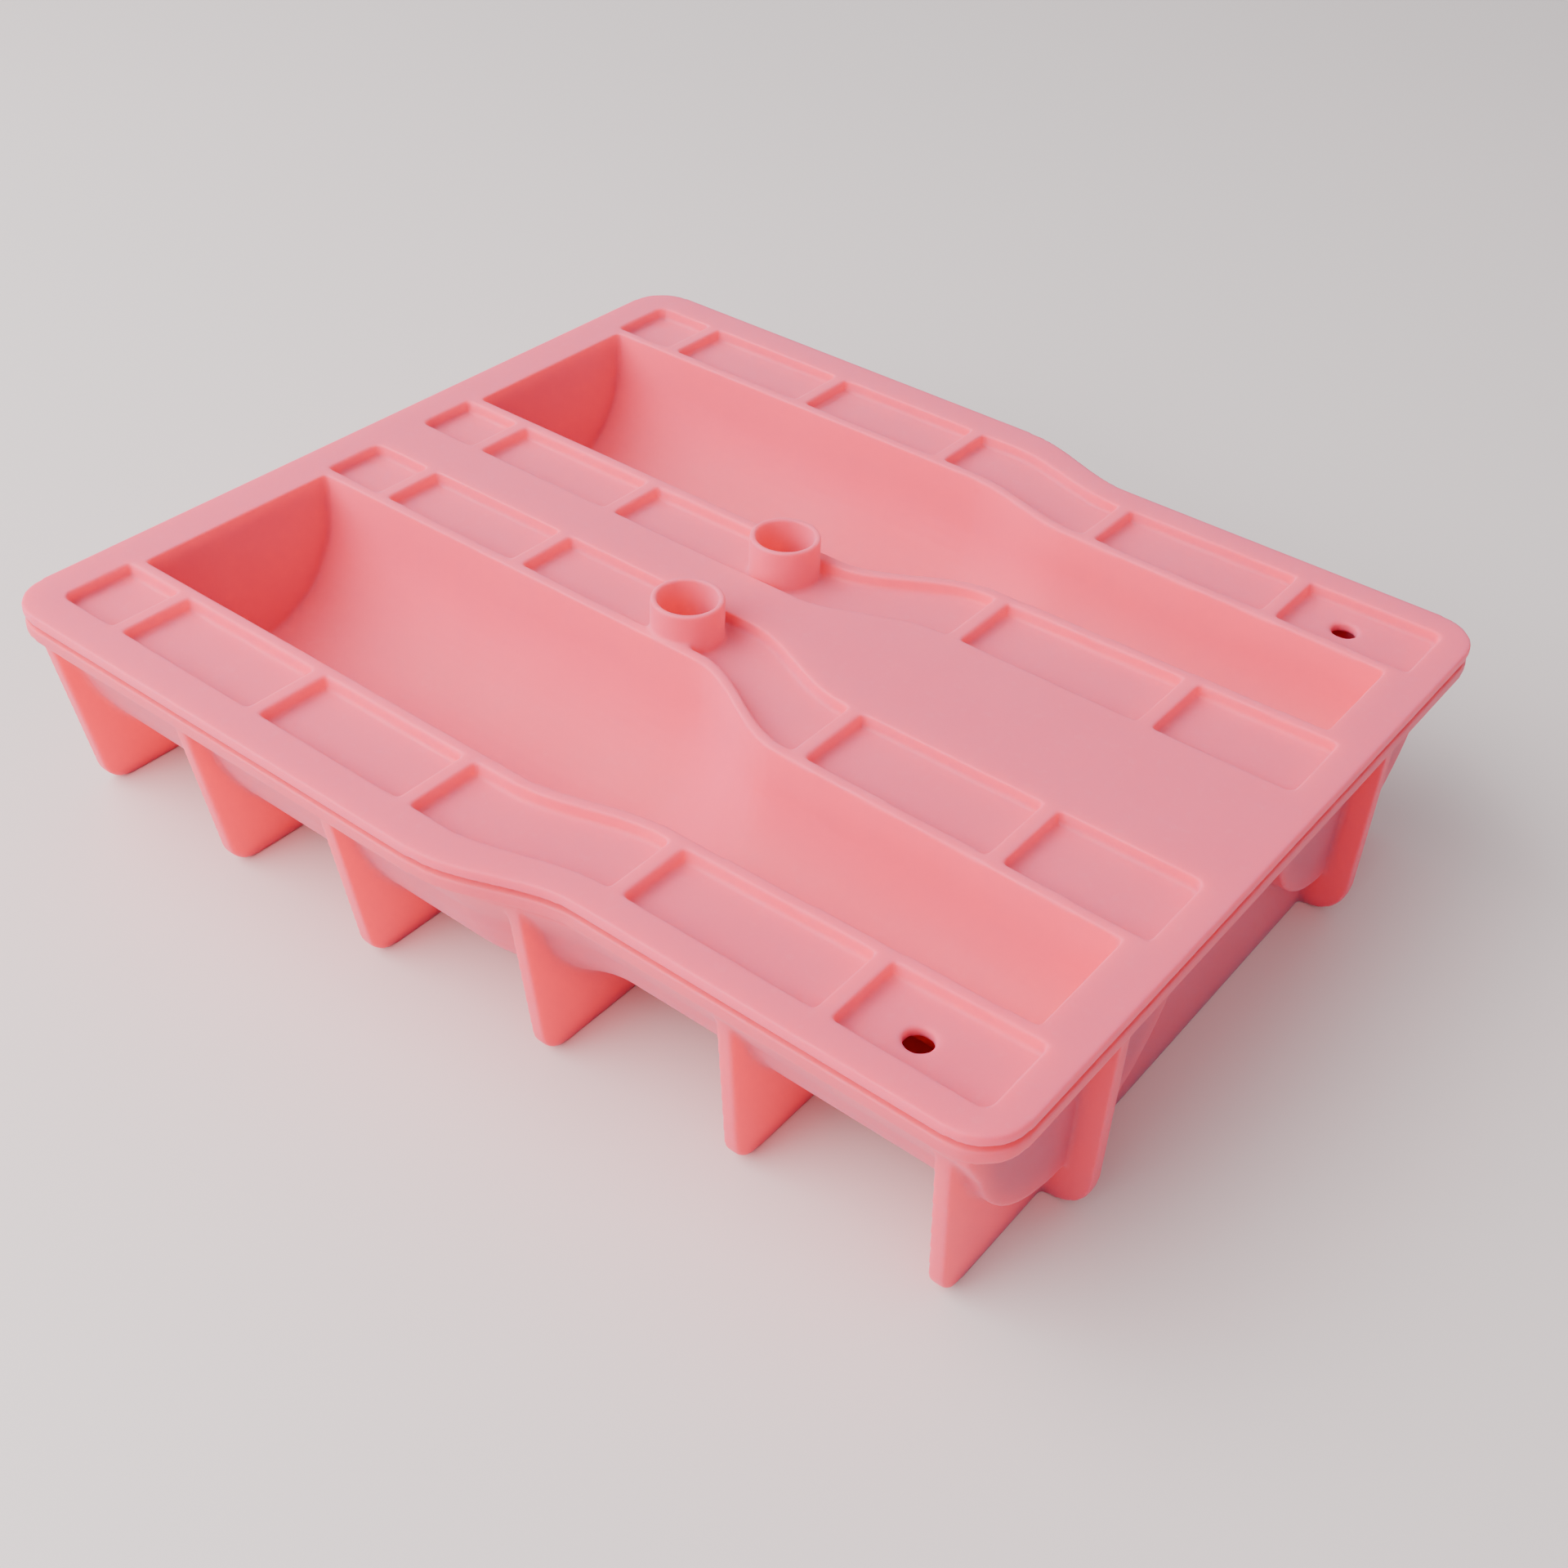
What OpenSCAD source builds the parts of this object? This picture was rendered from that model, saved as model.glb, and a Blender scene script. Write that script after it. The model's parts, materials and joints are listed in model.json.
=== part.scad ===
// Two-cavity casting mould in soft silicone: a core tray that lifts out of a jacket tray.
// Frame: +X along the cavities towards the neck end, +Y across, +Z up, origin at the
// centre of the footprint on the floor. Units are millimetres.

/* [Overall] */
// length of the rim along X
rim_length = 290; // [289:0.5:294]
// width of the rim over the wide half
rim_width = 248; // [247:0.5:252]
// width of the rim over the neck half
rim_neck_width = 227; // [226.5:0.5:230]
// height of the rim top above the floor
rim_height = 64; // [64:0.5:70]
// radius of the rim corners in plan
corner_radius = 12; // [8:0.5:14]

/* [Cavities] */
// distance of a cavity's axis from the middle, wide half
axis_offset = 60; // [59.5:0.1:60.4]
// distance of a cavity's axis from the middle, neck half
neck_axis_offset = 63.8; // [63:0.1:64.2]
// depth of the cavity axis below the rim top
axis_drop = 10.5; // [9.5:0.1:10.5]
// inner radius of the trough, wide half
trough_radius = 30; // [28:0.2:30.4]
// inner radius of the trough where the neck starts
neck_radius = 18; // [17:0.2:18.4]
// inner radius of the trough at the end of the neck
neck_end_radius = 16; // [15:0.2:17]
// inner length of the trough
trough_length = 265; // [262:0.5:265.5]
// outer radius of the jacket, wide half
jacket_radius = 53.5; // [52:0.1:53.5]
// outer radius of the jacket, neck half
jacket_neck_radius = 41.2; // [40:0.1:41.4]
// where the shoulder starts along X
shoulder_start = 0; // [-4:0.5:2]
// where the shoulder ends along X
shoulder_end = 40; // [38:0.5:40]

/* [Pockets, spouts and vents] */
// depth of the pockets beside the troughs
pocket_depth = 3.6; // [3:0.1:4]
// outer edge of the outer pockets, wide half
pocket_reach = 113.4; // [112:0.1:113.6]
// outer edge of the outer pockets, neck half
pocket_neck_reach = 104.8; // [104:0.1:105]
// half width of the flat web, wide half
web_half = 8.5; // [8:0.1:9]
// half width of the flat web, neck half
web_neck_half = 20.5; // [19:0.1:21]
// thickness of the cross ribs
rib = 4.2; // [3:0.1:5]
// outside diameter of a pour spout
spout_diameter = 18.8; // [18:0.1:19]
// bore diameter of a pour spout
spout_bore = 15.4; // [12:0.1:15.6]
// height of a spout above the rim top
spout_rise = 8.2; // [5:0.1:12]
// diameter of a vent hole
vent_diameter = 6.7; // [5:0.1:8.4]

/* [Walls and feet] */
// thickness of the trough skin
skin = 3.4; // [3:0.1:3.6]
// thickness of the jacket wall
jacket_wall = 3.5; // [3:0.1:4]
// thickness of the foot plates and end gussets
plate = 4; // [3:0.1:4.4]

/* [Hidden] */
eps = 0.5;
segments = 28;
steps = 10;
quarter = 8;

// heights of the stacked edge, from the rim top down
axis_z = rim_height - axis_drop;
flange = 3;
flange_z = rim_height - flange;
groove = 1.5;
groove_depth = 2.5;
lip_top = flange_z - groove;
lip_z = rim_height - 8;
pocket_z = rim_height - pocket_depth;
pocket_floor = 2.9;
strip_z = pocket_z - pocket_floor;
deck_top = rim_height - 7;
deck_z = rim_height - 9;
deck_inset = 3.2;

// walls and clearances
skirt = 2.2;
gap = 0.4;
end_wall = 1.8;
jacket_end_wall = 2.5;
trough_end = trough_length / 2 + end_wall;
jacket_end = trough_end + gap + jacket_end_wall;
flare = 4.4;
flare_side = 4;
flare_drop = 13;

// pockets, spouts and vents
pocket_start = -134.6;
pocket_end = 136.8;
pocket_corner = 2.5;
rib_xs = [-112.8, -62.2, -11.8, 43.3, 98];
spout_x = -10;
spout_y = 19.5;
vent_x = 114.9;
vent_y = 95.4;
// the spout itself parts the long pocket of an inner strip
inner_rib_xs = [for (x = rib_xs) if (abs(x - spout_x) > spout_diameter) x];

// feet
foot_count = 6;
middle_foot = 3;
middle_foot_x = -37;
last_foot_x = 128.5;
foot_inset = 4.8;
foot_lean = 8;
foot_neck_lean = 4.5;
foot_corner = 8;
gusset_y = 63;
gusset_end = rim_length / 2 - 1;
gusset_corner = 10;

pink = [0.90, 0.47, 0.50];
rose = [0.83, 0.38, 0.43];

// Shape of the plan --------------------------------------------------------------

// Goes smoothly from 0 at the start of the shoulder to 1 at its end.
function ease(x) =
    let (t = min(1, max(0, (x - shoulder_start) / (shoulder_end - shoulder_start))))
    (1 - cos(180 * t)) / 2;
function blend(x, wide, neck) = wide + (neck - wide) * ease(x);
function taper(x) = min(1, max(0, (x - shoulder_end) / (trough_end - shoulder_end)));

function axis_y(x) = blend(x, axis_offset, neck_axis_offset);
function trough_r(x) =
    blend(x, trough_radius, neck_radius) + (neck_end_radius - neck_radius) * taper(x);
function jacket_r(x) = blend(x, jacket_radius, jacket_neck_radius);
function rim_y(x) = blend(x, rim_width / 2, rim_neck_width / 2);
function outer_y(x) = blend(x, pocket_reach, pocket_neck_reach);
function web_y(x) = blend(x, web_half, web_neck_half);
function trough_far(x) = axis_y(x) + trough_r(x) + skin;
function trough_near(x) = axis_y(x) - trough_r(x) - skin;

// The places along X where a curved side gets a point, between two ends.
function shoulder_xs() =
    [for (i = [0 : steps]) shoulder_start + (shoulder_end - shoulder_start) * i / steps];
function stations(from, to) =
    concat([from], [for (x = shoulder_xs()) if (x > from + 0.01 && x < to - 0.01) x], [to]);

function arc(center, r, from, to, n) =
    [for (i = [0 : n]) let (a = from + (to - from) * i / n) center + r * [cos(a), sin(a)]];
function reversed(list) = [for (i = [len(list) - 1 : -1 : 0]) list[i]];
function across(list) = [for (p = reversed(list)) [p.x, -p.y]];

// Building blocks ----------------------------------------------------------------

// Solid through closed rings of [y, z] points, one ring at each x.
module loft(xs, rings) {
    n = len(rings[0]);
    last = len(xs) - 1;
    points = [for (i = [0 : last]) for (p = rings[i]) [xs[i], p.x, p.y]];
    sides = [
        for (i = [0 : last - 1]) for (j = [0 : n - 1])
            let (k = (j + 1) % n, a = i * n + j, b = i * n + k, c = a + n, d = b + n)
            each [[a, b, d], [a, d, c]]
    ];
    start = [for (j = [n - 1 : -1 : 0]) j];
    end = [for (j = [0 : n - 1]) last * n + j];
    polyhedron(points, concat([start], sides, [end]));
}

// Half-round ring around a cavity axis, its open side going straight up to top.
function u_ring(center, r, top) =
    concat(
        [[center + r, top]],
        reversed(arc([center, axis_z], r, 180, 360, segments)),
        [[center - r, top]]
    );

// The jacket's outside: half round, with a flare under the lip on the outer side.
function jacket_ring(center, r) =
    concat(
        [[center + r + flare, rim_height], [center + r + flare, deck_z - flare_side]],
        reversed(arc([center, axis_z], r, 180, 360 - asin(flare_drop / r), segments)),
        [[center - r, rim_height]]
    );

module trough_solid(from, to, grow, top) {
    xs = stations(from, to);
    loft(xs, [for (x = xs) u_ring(axis_y(x), trough_r(x) + grow, top)]);
}

module jacket_solid(from, to) {
    xs = stations(from, to);
    loft(xs, [for (x = xs) jacket_ring(axis_y(x), jacket_r(x))]);
}

module hollow_solid(from, to) {
    xs = stations(from, to);
    loft(xs, [for (x = xs) u_ring(axis_y(x), jacket_r(x) - jacket_wall, rim_height + eps)]);
}

// Plan outline of the rim, drawn in by inset.
module rim_outline(inset) {
    end = rim_length / 2 - inset;
    r = corner_radius - inset;
    side = concat(
        arc([r - end, rim_y(-end) - inset - r], r, 180, 90, quarter),
        [for (x = shoulder_xs()) [x, rim_y(x) - inset]],
        arc([end - r, rim_y(end) - inset - r], r, 90, 0, quarter)
    );
    polygon(concat(side, across(side)));
}

// The far edge of the outer pockets, moved out by grow, with its round corners.
function pocket_edge(grow) =
    let (
        r = pocket_corner + grow,
        from = pocket_start - grow,
        to = pocket_end + grow
    )
    concat(
        arc([from + r, outer_y(from) + grow - r], r, 180, 90, quarter),
        [for (x = shoulder_xs()) [x, outer_y(x) + grow]],
        arc([to - r, outer_y(to) + grow - r], r, 90, 0, quarter)
    );

// The edge of the inner pockets along the web, moved out by grow.
function web_edge(grow) =
    let (
        r = pocket_corner,
        from = pocket_start - grow,
        to = pocket_end + grow
    )
    concat(
        arc([from + r, web_y(from) - grow + r], r, 180, 270, quarter),
        [for (x = shoulder_xs()) [x, web_y(x) - grow]],
        arc([to - r, web_y(to) - grow + r], r, 270, 360, quarter)
    );

// Everything between the two outer pocket edges.
module tray_outline(grow) {
    side = pocket_edge(grow);
    polygon(concat(side, across(side)));
}

module outer_strip_plan(grow) {
    xs = reversed(stations(pocket_start - grow, pocket_end + grow));
    polygon(concat(pocket_edge(grow), [for (x = xs) [x, trough_far(x) - grow]]));
}

module inner_strip_plan(grow) {
    xs = reversed(stations(pocket_start - grow, pocket_end + grow));
    polygon(concat(web_edge(grow), [for (x = xs) [x, trough_near(x) + grow]]));
}

module trough_plan() {
    xs = stations(-trough_end, trough_end);
    polygon(concat(
        [for (x = xs) [x, trough_far(x)]],
        [for (x = reversed(xs)) [x, trough_near(x)]]
    ));
}

module hollow_plan() {
    xs = stations(jacket_end_wall - jacket_end, jacket_end - jacket_end_wall);
    polygon(concat(
        [for (x = xs) [x, axis_y(x) + jacket_r(x) - jacket_wall]],
        [for (x = reversed(xs)) [x, axis_y(x) - jacket_r(x) + jacket_wall]]
    ));
}

module web_plan() {
    side = [for (x = stations(pocket_start, pocket_end)) [x, web_y(x)]];
    polygon(concat(side, across(side)));
}

module ribs(xs) {
    for (x = xs)
        translate([x - rib / 2, 0]) square([rib, rim_width / 2]);
}

module at_spout(d, from, to) {
    translate([spout_x, spout_y, from]) cylinder(h = to - from, d = d, $fn = 64);
}

module right() {
    mirror([0, 1, 0]) children();
}

// Core tray ----------------------------------------------------------------------

module rim_flange() {
    color(pink)
        translate([0, 0, flange_z])
            linear_extrude(flange)
                difference() {
                    rim_outline(0);
                    web_plan();
                    for (side = [0, 1])
                        mirror([0, side]) {
                            outer_strip_plan(0);
                            inner_strip_plan(0);
                            trough_plan();
                        }
                }
}

module center_web() {
    color(pink)
        translate([0, 0, flange_z]) linear_extrude(flange) web_plan();
}

module trough() {
    color(rose)
        difference() {
            trough_solid(-trough_end, trough_end, skin, rim_height);
            trough_solid(end_wall - trough_end, trough_end - end_wall, 0, rim_height + eps);
            at_spout(spout_diameter, strip_z, rim_height + eps);
        }
}

// A strip of the tray. Its children are its plan with the skirt and its plan without.
module strip() {
    translate([0, 0, strip_z])
        linear_extrude(flange_z - strip_z)
            difference() {
                children(0);
                trough_plan();
            }
    translate([0, 0, flange_z]) linear_extrude(flange) children(1);
}

// The pockets in a strip. Its children are the strip's plan and its ribs.
module pockets() {
    translate([0, 0, pocket_z])
        linear_extrude(pocket_depth + eps)
            difference() {
                children(0);
                children(1);
            }
}

module outer_strip() {
    color(pink)
        difference() {
            strip() {
                outer_strip_plan(skirt);
                outer_strip_plan(0);
            }
            pockets() {
                outer_strip_plan(0);
                ribs(rib_xs);
            }
            translate([vent_x, vent_y, strip_z - eps])
                cylinder(h = pocket_floor + 2 * eps, d = vent_diameter, $fn = 48);
        }
}

module inner_strip() {
    color(pink)
        difference() {
            strip() {
                inner_strip_plan(skirt);
                inner_strip_plan(0);
            }
            pockets() {
                inner_strip_plan(0);
                ribs(inner_rib_xs);
            }
            at_spout(spout_diameter, strip_z - eps, rim_height + eps);
        }
}

module spout() {
    color(rose)
        difference() {
            at_spout(spout_diameter, strip_z, rim_height + spout_rise);
            at_spout(spout_bore, strip_z - eps, rim_height + spout_rise + eps);
        }
}

// Jacket tray --------------------------------------------------------------------

module lip_ring() {
    color(pink)
        difference() {
            union() {
                translate([0, 0, lip_z]) linear_extrude(lip_top - lip_z) rim_outline(0);
                translate([0, 0, lip_top]) linear_extrude(groove) rim_outline(groove_depth);
            }
            translate([0, 0, lip_z - eps])
                linear_extrude(flange_z - lip_z + 2 * eps) tray_outline(skirt + gap);
        }
}

// The floor of the jacket tray around the two hollows. It rises a little inside the lip.
module base_deck() {
    color(pink)
        difference() {
            union() {
                translate([0, 0, deck_z]) linear_extrude(lip_z - deck_z) rim_outline(deck_inset);
                translate([0, 0, lip_z]) linear_extrude(deck_top - lip_z) tray_outline(skirt + gap);
            }
            translate([0, 0, deck_z - eps])
                linear_extrude(deck_top - deck_z + 2 * eps)
                    for (side = [0, 1])
                        mirror([0, side]) hollow_plan();
        }
}

module jacket() {
    inner_end = jacket_end - jacket_end_wall;
    color(rose)
        difference() {
            jacket_solid(-jacket_end, jacket_end);
            hollow_solid(-inner_end, inner_end);
            translate([-rim_length / 2, 0, deck_z]) cube([rim_length, rim_width, rim_height]);
        }
}

// Outline of a foot plate as seen along -X: sides lean out upwards, lower corners are round.
module foot_outline(top, bottom) {
    lean = atan((top - bottom) / deck_z);
    side = concat(
        arc([bottom - foot_corner, foot_corner], foot_corner, -90, -lean, quarter),
        [[top, deck_z]]
    );
    polygon(concat(side, [for (p = reversed(side)) [-p.x, p.y]]));
}

function first_foot_x() = -jacket_end - plate;
function foot_x(i) =
    i < middle_foot
        ? first_foot_x() + (middle_foot_x - first_foot_x()) * (i - 1) / (middle_foot - 1)
        : middle_foot_x
            + (last_foot_x - middle_foot_x) * (i - middle_foot) / (foot_count - middle_foot);

// The room that the jacket takes up in a plate that crosses it.
module jacket_cut() {
    jacket_solid(-jacket_end, jacket_end);
}

// A plate across the whole mould, cut out around the two jackets.
module foot_plate(i) {
    x = foot_x(i);
    top = rim_y(x + plate / 2) - foot_inset;
    bottom = top - blend(x + plate / 2, foot_lean, foot_neck_lean);
    color(pink)
        difference() {
            translate([x, 0, 0])
                rotate([90, 0, 90]) linear_extrude(plate) foot_outline(top, bottom);
            if (i > 1)
                for (side = [0, 1])
                    mirror([0, side, 0]) jacket_cut();
        }
}

// A plate on the neck's middle, from the last foot out under the rim.
module end_gusset() {
    from = foot_x(foot_count) + plate;
    deck_end = rim_length / 2 - deck_inset;
    corner = [gusset_end - gusset_corner, gusset_corner];
    color(pink)
        difference() {
            translate([0, gusset_y + plate / 2, 0])
                rotate([90, 0, 0])
                    linear_extrude(plate)
                        polygon(concat(
                            [[deck_end, lip_z], [deck_end, deck_z], [from, deck_z], [from, 0]],
                            arc(corner, gusset_corner, -90, 0, quarter),
                            [[gusset_end, lip_z]]
                        ));
            jacket_cut();
        }
}

rim_flange();
center_web();
trough();  // trough_left
right() trough();  // trough_right
outer_strip();  // outer_strip_left
right() outer_strip();  // outer_strip_right
inner_strip();  // inner_strip_left
right() inner_strip();  // inner_strip_right
spout();  // spout_left
right() spout();  // spout_right
lip_ring();
base_deck();
jacket();  // jacket_left
right() jacket();  // jacket_right
end_gusset();  // end_gusset_left
right() end_gusset();  // end_gusset_right
foot_plate(1);  // foot_plate_1
foot_plate(2);  // foot_plate_2
foot_plate(3);  // foot_plate_3
foot_plate(4);  // foot_plate_4
foot_plate(5);  // foot_plate_5
foot_plate(6);  // foot_plate_6
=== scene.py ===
"""A two-part casting mould in soft pink silicone: a core tray resting in a jacket tray."""

import json
import math

import bmesh
import bpy
from mathutils import Matrix, Vector


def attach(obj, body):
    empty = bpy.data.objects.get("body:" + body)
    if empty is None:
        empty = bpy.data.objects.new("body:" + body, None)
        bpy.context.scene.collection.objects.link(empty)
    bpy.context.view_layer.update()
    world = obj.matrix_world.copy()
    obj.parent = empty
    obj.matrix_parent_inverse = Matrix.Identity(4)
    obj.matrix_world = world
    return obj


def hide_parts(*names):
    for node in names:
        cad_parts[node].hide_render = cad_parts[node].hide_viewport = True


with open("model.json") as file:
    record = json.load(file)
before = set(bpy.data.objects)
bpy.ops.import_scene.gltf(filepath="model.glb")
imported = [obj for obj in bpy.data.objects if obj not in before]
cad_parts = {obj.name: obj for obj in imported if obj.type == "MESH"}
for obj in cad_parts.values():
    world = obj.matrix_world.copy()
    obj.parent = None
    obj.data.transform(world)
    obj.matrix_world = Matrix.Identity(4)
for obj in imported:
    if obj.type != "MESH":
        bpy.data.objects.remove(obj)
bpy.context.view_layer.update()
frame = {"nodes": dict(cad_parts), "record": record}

MM = 0.001

# ---------------------------------------------------------------------------- sizes

CELL = 0.5 * MM  # cell of the skin that fuses a moulding's sections
ROUNDING = 4  # passes that round off the skin's edges
RIPPLE = 0.05 * MM  # how far the cast faces wander inwards from flat
RIPPLE_SIZE = 38.0  # ripples to the metre
SKIN_TRIANGLES = 190_000  # what is kept of the skin
CORE_SEED = 1.5
JACKET_SEED = 7.0

# ------------------------------------------------------------------------- finishes

SILICONE_IOR = 1.41
SKIN_ROUGHNESS = 0.48
GLOW_COLORS = (1.0, 0.09, 0.09)  # how far red, green and blue light travel, as shares
CORE_FINISH = {
    "pigment": (0.99, 0.108, 0.20, 1),
    "deep_pigment": (0.985, 0.095, 0.185, 1),
    "cloud_size": 22.0,
    "dust": 0.03,
    "grain_depth": 0.10,
    "glow_depth": 0.006,
}
JACKET_FINISH = {
    "pigment": (0.99, 0.10, 0.165, 1),
    "deep_pigment": (0.985, 0.09, 0.152, 1),
    "cloud_size": 18.0,
    "dust": 0.02,
    "grain_depth": 0.12,
    "glow_depth": 0.018,
}
DUST_COLOR = (0.83, 0.76, 0.76, 1)
BENCH_COLORS = ((0.68, 0.60, 0.595, 1), (0.71, 0.63, 0.625, 1))
BENCH_ROUGHNESS = 0.42

# --------------------------------------------------------------------------- studio

BENCH_HALF_WIDTH = 3.0
CAMERA_TARGET = (23.9, -21.4, 31.8)  # millimetres
CAMERA_DISTANCE = 0.486
CAMERA_AZIMUTH = 36.52
CAMERA_ELEVATION = 38.69
CAMERA_ROLL = 2.91
CAMERA_VIEW_ANGLE = 44.18
SKY_COLOR = (0.95, 0.97, 1.0, 1)
SKY_STRENGTH = 0.72


# ------------------------------------------------------------------- shader helpers


def new_node(tree, kind, inputs=None, **settings):
    """Adds a node, with its settings and the values of its inputs by name."""
    made = tree.nodes.new(kind)
    for name, value in settings.items():
        setattr(made, name, value)
    for name, value in (inputs or {}).items():
        made.inputs[name].default_value = value
    return made


def new_group(name, kind, inputs, outputs):
    """Makes an empty node group with typed sockets."""
    tree = bpy.data.node_groups.new(name, kind)
    for label, socket, value in inputs:
        made = tree.interface.new_socket(label, in_out="INPUT", socket_type=socket)
        if value is not None:
            made.default_value = value
    for label, socket in outputs:
        tree.interface.new_socket(label, in_out="OUTPUT", socket_type=socket)
    return tree, tree.nodes.new("NodeGroupInput"), tree.nodes.new("NodeGroupOutput")


# ------------------------------------------------------------------------- materials


def cast_skin_group():
    """The skin of cast silicone: cloudy pigment, a fine mould grain and settled dust."""
    tree, given, result = new_group(
        "cast_skin",
        "ShaderNodeTree",
        [
            ("Pigment", "NodeSocketColor", (0.8, 0.3, 0.35, 1)),
            ("Deep Pigment", "NodeSocketColor", (0.7, 0.2, 0.25, 1)),
            ("Cloud Size", "NodeSocketFloat", 25.0),
            ("Dust", "NodeSocketFloat", 0.1),
            ("Roughness", "NodeSocketFloat", 0.5),
            ("Grain Depth", "NodeSocketFloat", 0.05),
        ],
        [
            ("Color", "NodeSocketColor"),
            ("Roughness", "NodeSocketFloat"),
            ("Normal", "NodeSocketVector"),
        ],
    )
    link = tree.links.new
    place = new_node(tree, "ShaderNodeTexCoord")
    surface = new_node(tree, "ShaderNodeNewGeometry")

    cloud = new_node(tree, "ShaderNodeTexNoise", {"Detail": 3.0, "Roughness": 0.55})
    link(place.outputs["Object"], cloud.inputs["Vector"])
    link(given.outputs["Cloud Size"], cloud.inputs["Scale"])
    cloudy = new_node(
        tree,
        "ShaderNodeMapRange",
        {"From Min": 0.3, "From Max": 0.7, "To Min": 0.0, "To Max": 1.0},
    )
    link(cloud.outputs["Fac"], cloudy.inputs["Value"])
    pigment = new_node(tree, "ShaderNodeMix", data_type="RGBA")
    link(cloudy.outputs["Result"], pigment.inputs["Factor"])
    link(given.outputs["Pigment"], pigment.inputs["A"])
    link(given.outputs["Deep Pigment"], pigment.inputs["B"])

    # dust settles where the skin faces up
    specks = new_node(tree, "ShaderNodeTexNoise", {"Scale": 420.0, "Detail": 2.0})
    link(place.outputs["Object"], specks.inputs["Vector"])
    speckled = new_node(
        tree,
        "ShaderNodeMapRange",
        {"From Min": 0.58, "From Max": 0.74, "To Min": 0.0, "To Max": 1.0},
    )
    link(specks.outputs["Fac"], speckled.inputs["Value"])
    facing = new_node(tree, "ShaderNodeSeparateXYZ")
    link(surface.outputs["Normal"], facing.inputs["Vector"])
    upward = new_node(
        tree,
        "ShaderNodeMapRange",
        {"From Min": 0.2, "From Max": 0.95, "To Min": 0.0, "To Max": 1.0},
    )
    link(facing.outputs["Z"], upward.inputs["Value"])
    settled = new_node(tree, "ShaderNodeMath", operation="MULTIPLY")
    link(speckled.outputs["Result"], settled.inputs[0])
    link(upward.outputs["Result"], settled.inputs[1])
    film = new_node(tree, "ShaderNodeMath", operation="MULTIPLY_ADD")
    link(settled.outputs["Value"], film.inputs[0])
    film.inputs[1].default_value = 0.6
    link(upward.outputs["Result"], film.inputs[2])
    amount = new_node(tree, "ShaderNodeMath", operation="MULTIPLY", use_clamp=True)
    link(film.outputs["Value"], amount.inputs[0])
    link(given.outputs["Dust"], amount.inputs[1])
    dusted = new_node(tree, "ShaderNodeMix", data_type="RGBA")
    link(amount.outputs["Value"], dusted.inputs["Factor"])
    link(pigment.outputs["Result"], dusted.inputs["A"])
    dusted.inputs["B"].default_value = DUST_COLOR
    link(dusted.outputs["Result"], result.inputs["Color"])

    # the roughness wanders with the pigment and rises under the dust
    wander = new_node(tree, "ShaderNodeMath", operation="MULTIPLY_ADD")
    link(cloudy.outputs["Result"], wander.inputs[0])
    wander.inputs[1].default_value = 0.07
    link(given.outputs["Roughness"], wander.inputs[2])
    rough = new_node(tree, "ShaderNodeMath", operation="MULTIPLY_ADD", use_clamp=True)
    link(amount.outputs["Value"], rough.inputs[0])
    rough.inputs[1].default_value = 0.3
    link(wander.outputs["Value"], rough.inputs[2])
    link(rough.outputs["Value"], result.inputs["Roughness"])

    # a satin grain left by the tool that the moulding was cast in
    grain = new_node(tree, "ShaderNodeTexNoise", {"Scale": 1500.0, "Detail": 3.0})
    link(place.outputs["Object"], grain.inputs["Vector"])
    swell = new_node(tree, "ShaderNodeTexNoise", {"Scale": 32.0, "Detail": 1.0})
    link(place.outputs["Object"], swell.inputs["Vector"])
    relief = new_node(tree, "ShaderNodeMath", operation="MULTIPLY_ADD")
    link(swell.outputs["Fac"], relief.inputs[0])
    relief.inputs[1].default_value = 6.0
    link(grain.outputs["Fac"], relief.inputs[2])
    bump = new_node(tree, "ShaderNodeBump", {"Distance": 0.0001})
    link(relief.outputs["Value"], bump.inputs["Height"])
    link(given.outputs["Grain Depth"], bump.inputs["Strength"])
    link(bump.outputs["Normal"], result.inputs["Normal"])
    return tree


def silicone(name, skin, pigment, deep_pigment, cloud_size, dust, grain_depth, glow_depth):
    """Soft translucent silicone with a matte skin."""
    material = bpy.data.materials.new(name)
    material.use_nodes = True
    tree = material.node_tree
    shader = tree.nodes["Principled BSDF"]
    shader.inputs["IOR"].default_value = SILICONE_IOR
    shader.inputs["Subsurface Weight"].default_value = 1.0
    shader.inputs["Subsurface Radius"].default_value = GLOW_COLORS
    shader.inputs["Subsurface Scale"].default_value = glow_depth
    shader.inputs["Subsurface Anisotropy"].default_value = 0.5
    shader.inputs["Specular IOR Level"].default_value = 0.35
    coat = tree.nodes.new("ShaderNodeGroup")
    coat.node_tree = skin
    coat.inputs["Pigment"].default_value = pigment
    coat.inputs["Deep Pigment"].default_value = deep_pigment
    coat.inputs["Cloud Size"].default_value = cloud_size
    coat.inputs["Dust"].default_value = dust
    coat.inputs["Roughness"].default_value = SKIN_ROUGHNESS
    coat.inputs["Grain Depth"].default_value = grain_depth
    tree.links.new(coat.outputs["Color"], shader.inputs["Base Color"])
    tree.links.new(coat.outputs["Roughness"], shader.inputs["Roughness"])
    tree.links.new(coat.outputs["Normal"], shader.inputs["Normal"])
    return material


# ------------------------------------------------------------------------- mouldings


def merged_copy(name, nodes):
    """One mesh with a copy of several sections, each a closed shell."""
    shells = bmesh.new()
    for node in nodes:
        shells.from_mesh(frame["nodes"][node].data)
    bmesh.ops.remove_doubles(shells, verts=shells.verts, dist=1e-6)
    mesh = bpy.data.meshes.new(name)
    shells.to_mesh(mesh)
    shells.free()
    made = bpy.data.objects.new(name, mesh)
    bpy.context.scene.collection.objects.link(made)
    return made


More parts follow.
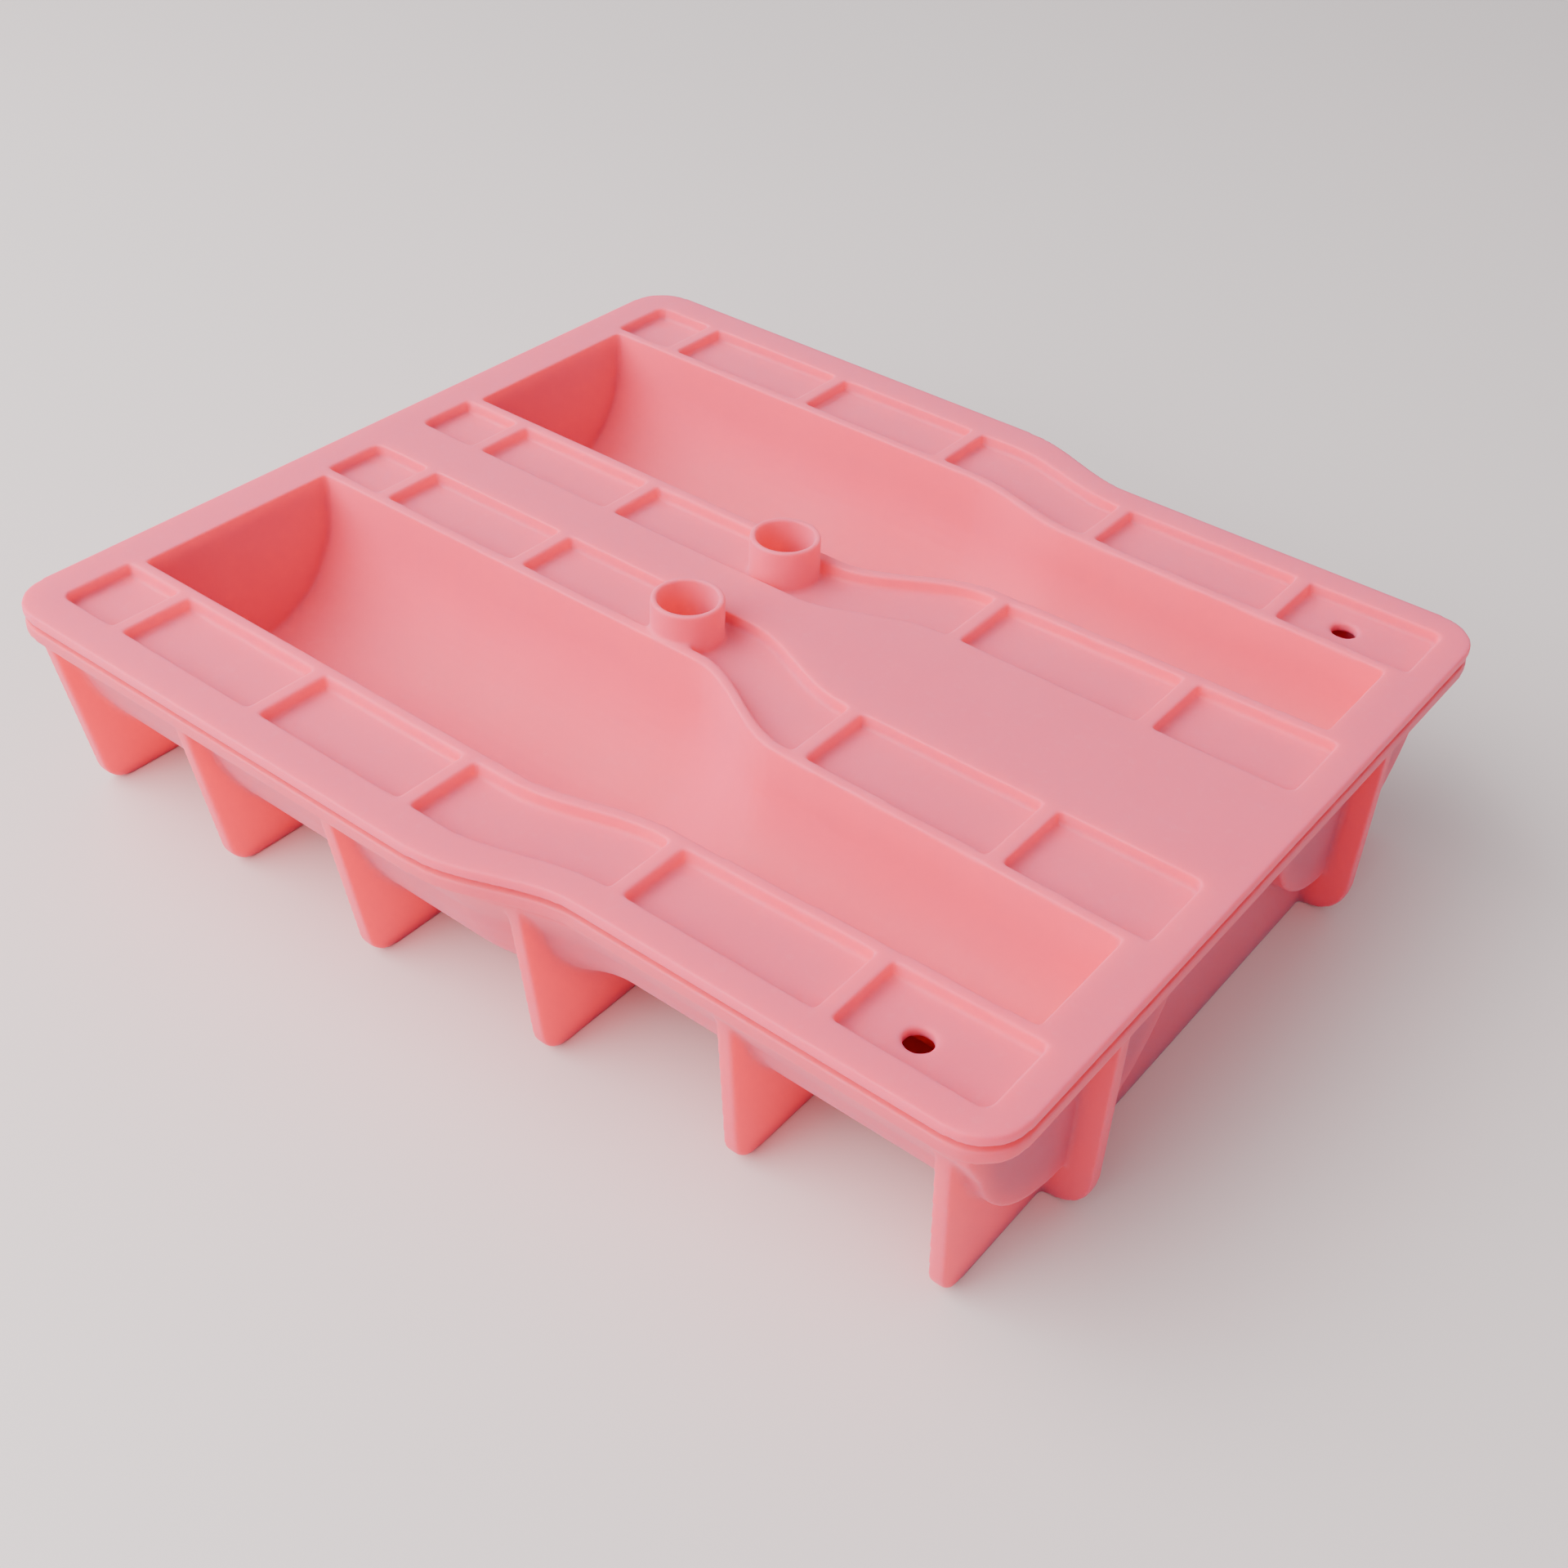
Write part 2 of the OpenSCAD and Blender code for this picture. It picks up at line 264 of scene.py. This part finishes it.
def baked(thing):
    """Turns the live modifiers into the mesh itself."""
    depsgraph = bpy.context.evaluated_depsgraph_get()
    mesh = bpy.data.meshes.new_from_object(thing.evaluated_get(depsgraph))
    mesh.name = thing.name
    thing.modifiers.clear()
    thing.data = mesh
    return thing


def soft_casting_group():
    """Rounds the edges of a skin and lets its faces ripple inwards, as cast silicone does."""
    tree, given, result = new_group(
        "soft_casting",
        "GeometryNodeTree",
        [
            ("Geometry", "NodeSocketGeometry", None),
            ("Rounding", "NodeSocketInt", ROUNDING),
            ("Ripple", "NodeSocketFloat", RIPPLE),
            ("Ripple Size", "NodeSocketFloat", RIPPLE_SIZE),
            ("Seed", "NodeSocketFloat", 0.0),
            ("Material", "NodeSocketMaterial", None),
        ],
        [("Geometry", "NodeSocketGeometry")],
    )
    link = tree.links.new

    # every point moves towards its neighbours, which only rounds the edges
    place = new_node(tree, "GeometryNodeInputPosition")
    blurred = new_node(tree, "GeometryNodeBlurAttribute", data_type="FLOAT_VECTOR")
    link(place.outputs["Position"], blurred.inputs["Value"])
    link(given.outputs["Rounding"], blurred.inputs["Iterations"])
    rounded = new_node(tree, "GeometryNodeSetPosition")
    link(given.outputs["Geometry"], rounded.inputs["Geometry"])
    link(blurred.outputs["Value"], rounded.inputs["Position"])

    # slow waves pull the faces in, never out past the sizes
    wave = new_node(tree, "ShaderNodeTexNoise", {"Detail": 1.0}, noise_dimensions="4D")
    here = new_node(tree, "GeometryNodeInputPosition")
    link(here.outputs["Position"], wave.inputs["Vector"])
    link(given.outputs["Ripple Size"], wave.inputs["Scale"])
    link(given.outputs["Seed"], wave.inputs["W"])
    depth = new_node(tree, "ShaderNodeMath", operation="MULTIPLY")
    link(wave.outputs["Fac"], depth.inputs[0])
    link(given.outputs["Ripple"], depth.inputs[1])
    inward = new_node(tree, "ShaderNodeMath", operation="MULTIPLY")
    link(depth.outputs["Value"], inward.inputs[0])
    inward.inputs[1].default_value = -1.0
    outward = new_node(tree, "GeometryNodeInputNormal")
    shift = new_node(tree, "ShaderNodeVectorMath", operation="SCALE")
    link(outward.outputs["Normal"], shift.inputs["Vector"])
    link(inward.outputs["Value"], shift.inputs["Scale"])
    rippled = new_node(tree, "GeometryNodeSetPosition")
    link(rounded.outputs["Geometry"], rippled.inputs["Geometry"])
    link(shift.outputs["Vector"], rippled.inputs["Offset"])

    real = new_node(tree, "GeometryNodeRealizeInstances")
    link(rippled.outputs["Geometry"], real.inputs["Geometry"])
    finish = new_node(tree, "GeometryNodeSetMaterial")
    link(real.outputs["Geometry"], finish.inputs["Geometry"])
    link(given.outputs["Material"], finish.inputs["Material"])
    link(finish.outputs["Geometry"], result.inputs["Geometry"])
    return tree


def with_inputs(modifier, values):
    """Sets a tree's inputs by the identifiers of their sockets."""
    for socket in modifier.node_group.interface.items_tree:
        if socket.in_out == "INPUT" and socket.name in values:
            modifier[socket.identifier] = values[socket.name]


def fused(thing, casting, seed, material):
    """Grows one skin round all the sections, as in one casting."""
    skin = thing.modifiers.new("skin", "REMESH")
    skin.mode = "VOXEL"
    skin.voxel_size = CELL
    baked(thing)
    soft = thing.modifiers.new("soft", "NODES")
    soft.node_group = casting
    with_inputs(soft, {"Seed": seed, "Material": material})
    baked(thing)
    lean = thing.modifiers.new("lean", "DECIMATE")
    thing.data.calc_loop_triangles()
    lean.ratio = min(1.0, SKIN_TRIANGLES / len(thing.data.loop_triangles))
    baked(thing)
    thing.data.shade_smooth()
    return thing


def moulding(name, body, casting, seed, material):
    nodes = frame["record"]["behaviour"]["bodies"][body]
    made = fused(merged_copy(name, nodes), casting, seed, material)
    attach(made, body)
    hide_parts(*nodes)
    return made


# ---------------------------------------------------------------------------- studio


def floor_material():
    material = bpy.data.materials.new("bench_laminate")
    material.use_nodes = True
    tree = material.node_tree
    shader = tree.nodes["Principled BSDF"]
    shader.inputs["Roughness"].default_value = BENCH_ROUGHNESS
    place = new_node(tree, "ShaderNodeTexCoord")
    haze = new_node(tree, "ShaderNodeTexNoise", {"Scale": 3.0, "Detail": 4.0})
    tree.links.new(place.outputs["Object"], haze.inputs["Vector"])
    tone = new_node(tree, "ShaderNodeMix", data_type="RGBA")
    tone.inputs["A"].default_value, tone.inputs["B"].default_value = BENCH_COLORS
    tree.links.new(haze.outputs["Fac"], tone.inputs["Factor"])
    tree.links.new(tone.outputs["Result"], shader.inputs["Base Color"])
    return material


def studio_floor(half_width):
    mesh = bpy.data.meshes.new("bench")
    corners = [(-1, -1), (1, -1), (1, 1), (-1, 1)]
    mesh.from_pydata([(x * half_width, y * half_width, 0) for x, y in corners], [], [(0, 1, 2, 3)])
    bench = bpy.data.objects.new("bench", mesh)
    bpy.context.scene.collection.objects.link(bench)
    mesh.materials.append(floor_material())
    return bench


def aim(thing, place, target, roll=0.0):
    """Stands a camera or a light at place, looking at target, turned by roll."""
    look = (target - place).to_track_quat("-Z", "Y").to_matrix().to_4x4()
    thing.matrix_world = Matrix.Translation(place) @ look @ Matrix.Rotation(roll, 4, "Z")


def direction(azimuth, elevation):
    """Unit vector towards a viewer; azimuth 0 stands at -Y and 90 at +X."""
    a, e = math.radians(azimuth), math.radians(elevation)
    return Vector((math.sin(a) * math.cos(e), -math.cos(a) * math.cos(e), math.sin(e)))


def camera():
    data = bpy.data.cameras.new("camera")
    data.sensor_width = 36.0
    data.angle = math.radians(CAMERA_VIEW_ANGLE)
    made = bpy.data.objects.new("camera", data)
    bpy.context.scene.collection.objects.link(made)
    target = Vector(CAMERA_TARGET) * MM
    place = target + direction(CAMERA_AZIMUTH, CAMERA_ELEVATION) * CAMERA_DISTANCE
    aim(made, place, target, math.radians(CAMERA_ROLL))
    bpy.context.scene.camera = made


def soft_box(name, azimuth, elevation, distance, size, power, tint):
    data = bpy.data.lights.new(name, "AREA")
    data.shape = "RECTANGLE"
    data.size, data.size_y = size
    data.energy = power
    data.color = tint
    made = bpy.data.objects.new(name, data)
    bpy.context.scene.collection.objects.link(made)
    aim(made, direction(azimuth, elevation) * distance, Vector((0, 0, 0.03)))


def studio():
    studio_floor(BENCH_HALF_WIDTH)
    world = bpy.data.worlds.new("studio")
    world.use_nodes = True
    world.node_tree.nodes["Background"].inputs["Color"].default_value = SKY_COLOR
    world.node_tree.nodes["Background"].inputs["Strength"].default_value = SKY_STRENGTH
    bpy.context.scene.world = world
    soft_box("window_key", -42, 46, 1.6, (2.0, 1.6), 68.0, (1.0, 0.985, 0.97))
    soft_box("front_fill", -4, 22, 1.6, (1.6, 0.7), 12.0, (1.0, 0.99, 0.98))
    camera()


# ------------------------------------------------------------------------------ scene

skin = cast_skin_group()
core_silicone = silicone("core_silicone", skin, **CORE_FINISH)
jacket_silicone = silicone("jacket_silicone", skin, **JACKET_FINISH)
casting = soft_casting_group()
moulding("core_moulding", "core_tray", casting, CORE_SEED, core_silicone)
moulding("jacket_moulding", "jacket_tray", casting, JACKET_SEED, jacket_silicone)
studio()
